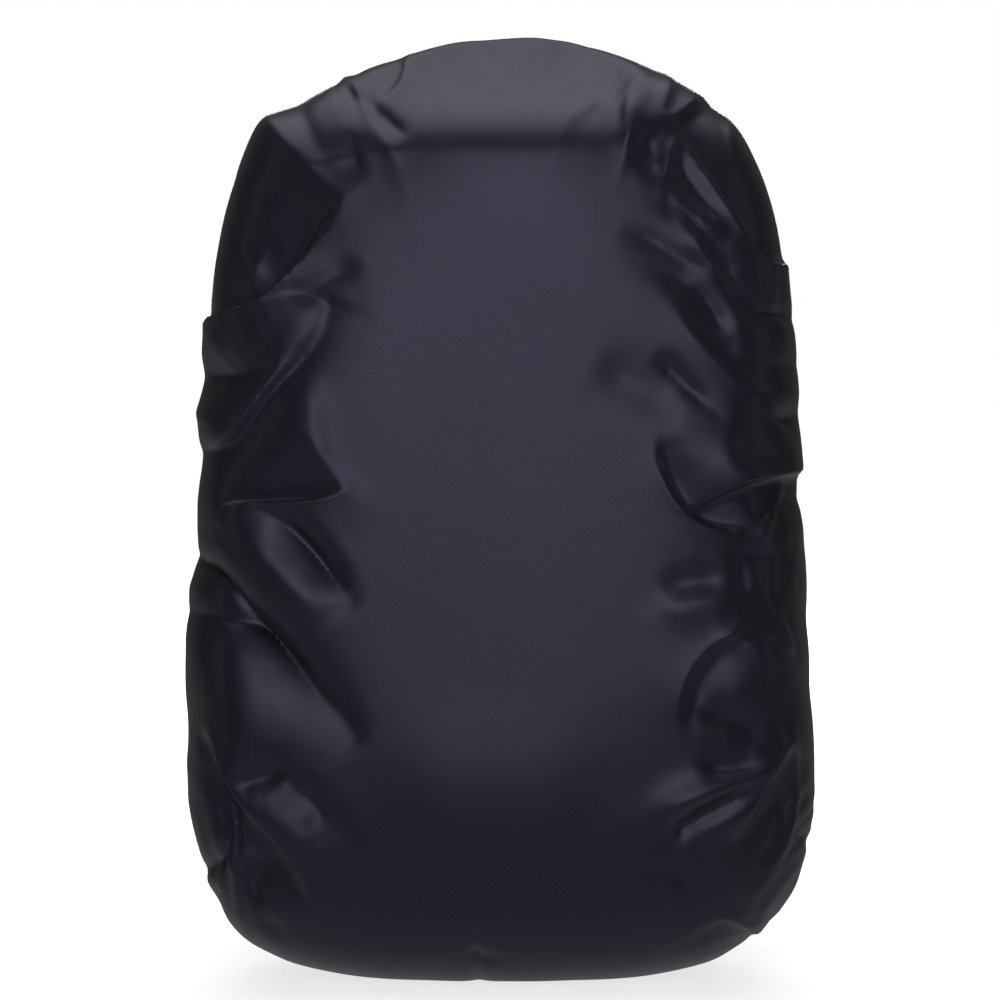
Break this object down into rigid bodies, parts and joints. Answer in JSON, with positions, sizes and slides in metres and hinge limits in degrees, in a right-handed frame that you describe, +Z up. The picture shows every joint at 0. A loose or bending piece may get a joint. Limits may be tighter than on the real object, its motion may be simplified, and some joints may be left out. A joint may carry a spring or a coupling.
{
  "type": "tail bag with rain cover",
  "caption": "Tall soft tail bag, packed full and standing upright, in a wrinkled coated rain cover with an elastic hem that leaves the harness side open.",
  "frame": {"origin": "middle of the footprint on the surface that the covered bag stands on", "axes": "+Z up; the cover's closed front faces -Y and the harness side faces +Y; +X is to the right of someone facing the front"},
  "size_m": [0.3454, 0.2543, 0.52],
  "materials": {
    "cover_cloth": "satin",
    "hem_rubber": "matte",
    "bag_cloth": "matte",
    "base_cloth": "matte",
    "frame_plastic": "matte",
    "load_cloth": "matte",
    "zip_tape": "matte",
    "zip_coil": "satin",
    "zip_metal": "satin",
    "pad_mesh": "matte",
    "strap_cloth": "matte",
    "webbing": "matte",
    "buckle_plastic": "satin",
    "ring_metal": "satin",
    "grip_rubber": "matte"
  },
  "bodies": {
    "bag": {"front_panel": "bag_cloth", "gusset_front": "bag_cloth", "gusset_rear": "bag_cloth", "base_panel": "base_cloth", "back_panel": "bag_cloth", "frame_sheet": "frame_plastic", "packed_load": "load_cloth", "front_pocket": "bag_cloth", "main_zip_tape": "zip_tape", "main_zip_coil": "zip_coil", "pocket_zip": "zip_coil", "back_pad_left": "pad_mesh", "back_pad_right": "pad_mesh", "lumbar_pad": "pad_mesh", "strap_yoke": "bag_cloth", "handle_loops": "webbing", "web_anchor_left": "webbing", "web_anchor_right": "webbing", "adjuster_web_left": "webbing", "adjuster_web_right": "webbing", "ring_tab_upper_left": "webbing", "ring_tab_upper_right": "webbing", "ring_tab_lower_left": "webbing", "ring_tab_lower_right": "webbing"},
    "cover": {"cover_shell": "cover_cloth", "cover_skirt": "cover_cloth", "hem_casing": "cover_cloth", "hem_elastic": "hem_rubber"},
    "handle": {"handle_wire": "ring_metal", "handle_grip": "grip_rubber"},
    "harness": {"shoulder_strap_left": "strap_cloth", "shoulder_strap_right": "strap_cloth", "sternum_socket": "buckle_plastic", "sternum_web_left": "webbing"},
    "ladder_lock_left": {"ladder_lock_left": "buckle_plastic"},
    "ladder_lock_right": {"ladder_lock_right": "buckle_plastic"},
    "buckle_plug": {"sternum_plug": "buckle_plastic", "sternum_web_right": "webbing"},
    "prong_upper": {"buckle_prong_upper": "buckle_plastic"},
    "prong_lower": {"buckle_prong_lower": "buckle_plastic"},
    "zip_slider": {"zip_slider": "zip_metal"},
    "zip_pull": {"zip_pull": "zip_metal"},
    "pocket_slider": {"pocket_slider": "zip_metal"},
    "pocket_pull": {"pocket_pull": "zip_metal"},
    "tie_ring_upper_left": {"tie_ring_upper_left": "ring_metal"},
    "tie_ring_upper_right": {"tie_ring_upper_right": "ring_metal"},
    "tie_ring_lower_left": {"tie_ring_lower_left": "ring_metal"},
    "tie_ring_lower_right": {"tie_ring_lower_right": "ring_metal"}
  },
  "joints": [
    {"name": "cover_pull_off", "type": "slide", "parent": "bag", "child": "cover", "axis": [0, -1, 0], "range_m": [0, 0.26], "deforming": ["cover_skirt", "hem_casing", "hem_elastic"]},
    {"name": "handle_swing", "type": "hinge", "parent": "bag", "child": "handle", "pos_m": [0, 0.113, 0.448], "axis": [1, 0, 0], "range_deg": [0, 120]},
    {"name": "harness_swing", "type": "hinge", "parent": "bag", "child": "harness", "pos_m": [0, 0.106, 0.402], "axis": [1, 0, 0], "range_deg": [0, 20], "deforming": ["adjuster_web_left", "adjuster_web_right"]},
    {"name": "lock_tilt_left", "type": "hinge", "parent": "harness", "child": "ladder_lock_left", "pos_m": [-0.088, 0.1165, 0.159], "axis": [1, 0, 0], "range_deg": [0, 35], "deforming": ["adjuster_web_left"]},
    {"name": "lock_tilt_right", "type": "hinge", "parent": "harness", "child": "ladder_lock_right", "pos_m": [0.088, 0.1165, 0.159], "axis": [1, 0, 0], "range_deg": [0, 35], "deforming": ["adjuster_web_right"]},
    {"name": "buckle_pull", "type": "slide", "parent": "harness", "child": "buckle_plug", "axis": [1, 0, 0], "range_m": [0, 0.024]},
    {"name": "prong_upper_squeeze", "type": "hinge", "parent": "buckle_plug", "child": "prong_upper", "pos_m": [0.0044, 0.124, 0.3254], "axis": [0, -1, 0], "range_deg": [0, 6], "stiffness_Nm_per_rad": 0.02},
    {"name": "prong_lower_squeeze", "type": "hinge", "parent": "buckle_plug", "child": "prong_lower", "pos_m": [0.0044, 0.124, 0.3106], "axis": [0, 1, 0], "range_deg": [0, 6], "stiffness_Nm_per_rad": 0.02},
    {"name": "zip_slide", "type": "slide", "parent": "bag", "child": "zip_slider", "axis": [-0.0393, 0, 0.9992], "range_m": [0, 0.17]},
    {"name": "zip_pull_swing", "type": "hinge", "parent": "zip_slider", "child": "zip_pull", "pos_m": [0.15811, -0.014, 0.166], "axis": [0.9992, 0, 0.0393], "range_deg": [-60, 60]},
    {"name": "pocket_zip_slide", "type": "slide", "parent": "bag", "child": "pocket_slider", "axis": [1, 0, 0], "range_m": [0, 0.124]},
    {"name": "pocket_pull_swing", "type": "hinge", "parent": "pocket_slider", "child": "pocket_pull", "pos_m": [-0.062, -0.10563, 0.272], "axis": [0, 1, 0], "range_deg": [-60, 60]},
    {"name": "ring_swing_upper_left", "type": "hinge", "parent": "bag", "child": "tie_ring_upper_left", "pos_m": [-0.114, 0.107, 0.332], "axis": [1, 0, 0], "range_deg": [0, 110]},
    {"name": "ring_swing_upper_right", "type": "hinge", "parent": "bag", "child": "tie_ring_upper_right", "pos_m": [0.114, 0.107, 0.332], "axis": [1, 0, 0], "range_deg": [0, 110]},
    {"name": "ring_swing_lower_left", "type": "hinge", "parent": "bag", "child": "tie_ring_lower_left", "pos_m": [-0.114, 0.107, 0.104], "axis": [1, 0, 0], "range_deg": [0, 110]},
    {"name": "ring_swing_lower_right", "type": "hinge", "parent": "bag", "child": "tie_ring_lower_right", "pos_m": [0.114, 0.107, 0.104], "axis": [1, 0, 0], "range_deg": [0, 110]}
  ],
  "couplings": [
    {"joint": "prong_lower_squeeze", "follows": "prong_upper_squeeze", "ratio": 1}
  ]
}
